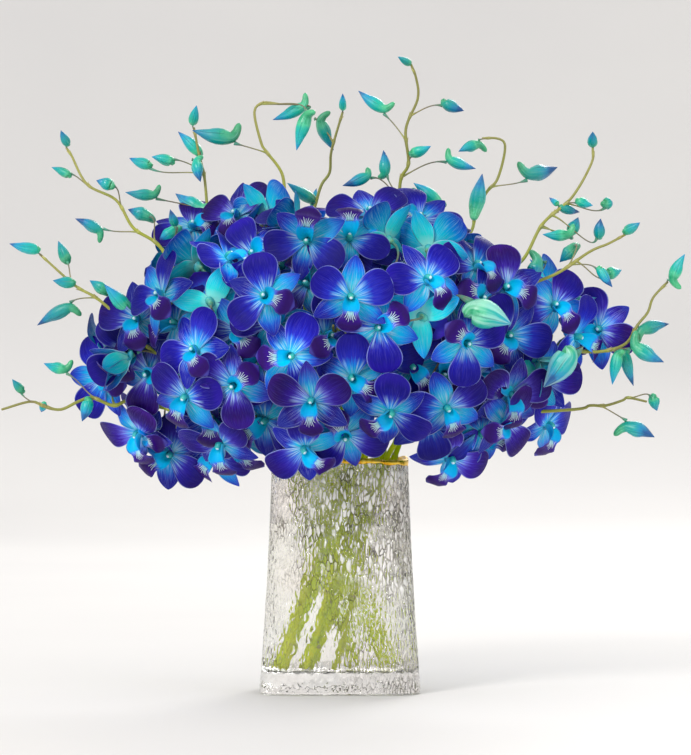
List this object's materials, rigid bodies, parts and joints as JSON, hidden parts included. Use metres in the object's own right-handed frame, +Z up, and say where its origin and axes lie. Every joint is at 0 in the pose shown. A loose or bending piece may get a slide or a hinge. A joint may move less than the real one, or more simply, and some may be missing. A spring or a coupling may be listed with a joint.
{
  "type": "orchid bouquet in vase",
  "caption": "Bouquet of blue dendrobium orchid sprays with open flowers and buds, standing in a tapered hammered glass vase with a gilt rim and water.",
  "frame": {"origin": "centre of the vase's flat foot, on the surface that it stands on", "axes": "+Z up along the vase's axis, +X to the right along the vase's broad side, +Y away from the viewer"},
  "size_m": [0.5174, 0.2622, 0.4833],
  "materials": {
    "glass": "clear, hammered outside",
    "gilt": "polished gilding",
    "water": "clear water",
    "stem": "fresh green stem and teal buds",
    "petal": "satin petals, blue to violet"
  },
  "bodies": {
    "root": {"vase": "glass", "gilt_rim": "gilt", "water": "water", "spray_right_low_outer": "stem", "spray_right_high": "stem", "spray_hook_right": "stem", "spray_back_right": "stem", "spray_top": "stem", "spray_back_middle": "stem", "spray_top_back": "stem", "spray_back_left": "stem", "spray_hook_left": "stem", "spray_left_high": "stem", "spray_left_middle": "stem", "spray_left_low": "stem", "spray_left_lowest": "stem", "spray_front_left": "stem", "spray_front_middle": "stem", "spray_front_right": "stem", "spray_right_lowest": "stem", "spray_right_middle": "stem", "flowers_01": "petal", "flowers_02": "petal", "flowers_03": "petal", "flowers_04": "petal", "flowers_05": "petal", "flowers_06": "petal", "flowers_07": "petal", "flowers_08": "petal", "flowers_09": "petal", "flowers_10": "petal", "flowers_11": "petal", "flowers_12": "petal", "flowers_13": "petal", "flowers_14": "petal", "flowers_15": "petal", "flowers_16": "petal", "flowers_17": "petal", "flowers_18": "petal", "flowers_19": "petal", "flowers_20": "petal", "flowers_21": "petal", "flowers_22": "petal", "flowers_23": "petal", "flowers_24": "petal", "flowers_25": "petal", "flowers_26": "petal", "flowers_27": "petal", "flowers_28": "petal", "flowers_29": "petal", "flowers_30": "petal", "flowers_31": "petal", "flowers_32": "petal", "flowers_33": "petal", "flowers_34": "petal", "flowers_35": "petal", "flowers_36": "petal", "flowers_37": "petal", "flowers_38": "petal", "flowers_39": "petal"}
  },
  "joints": []
}
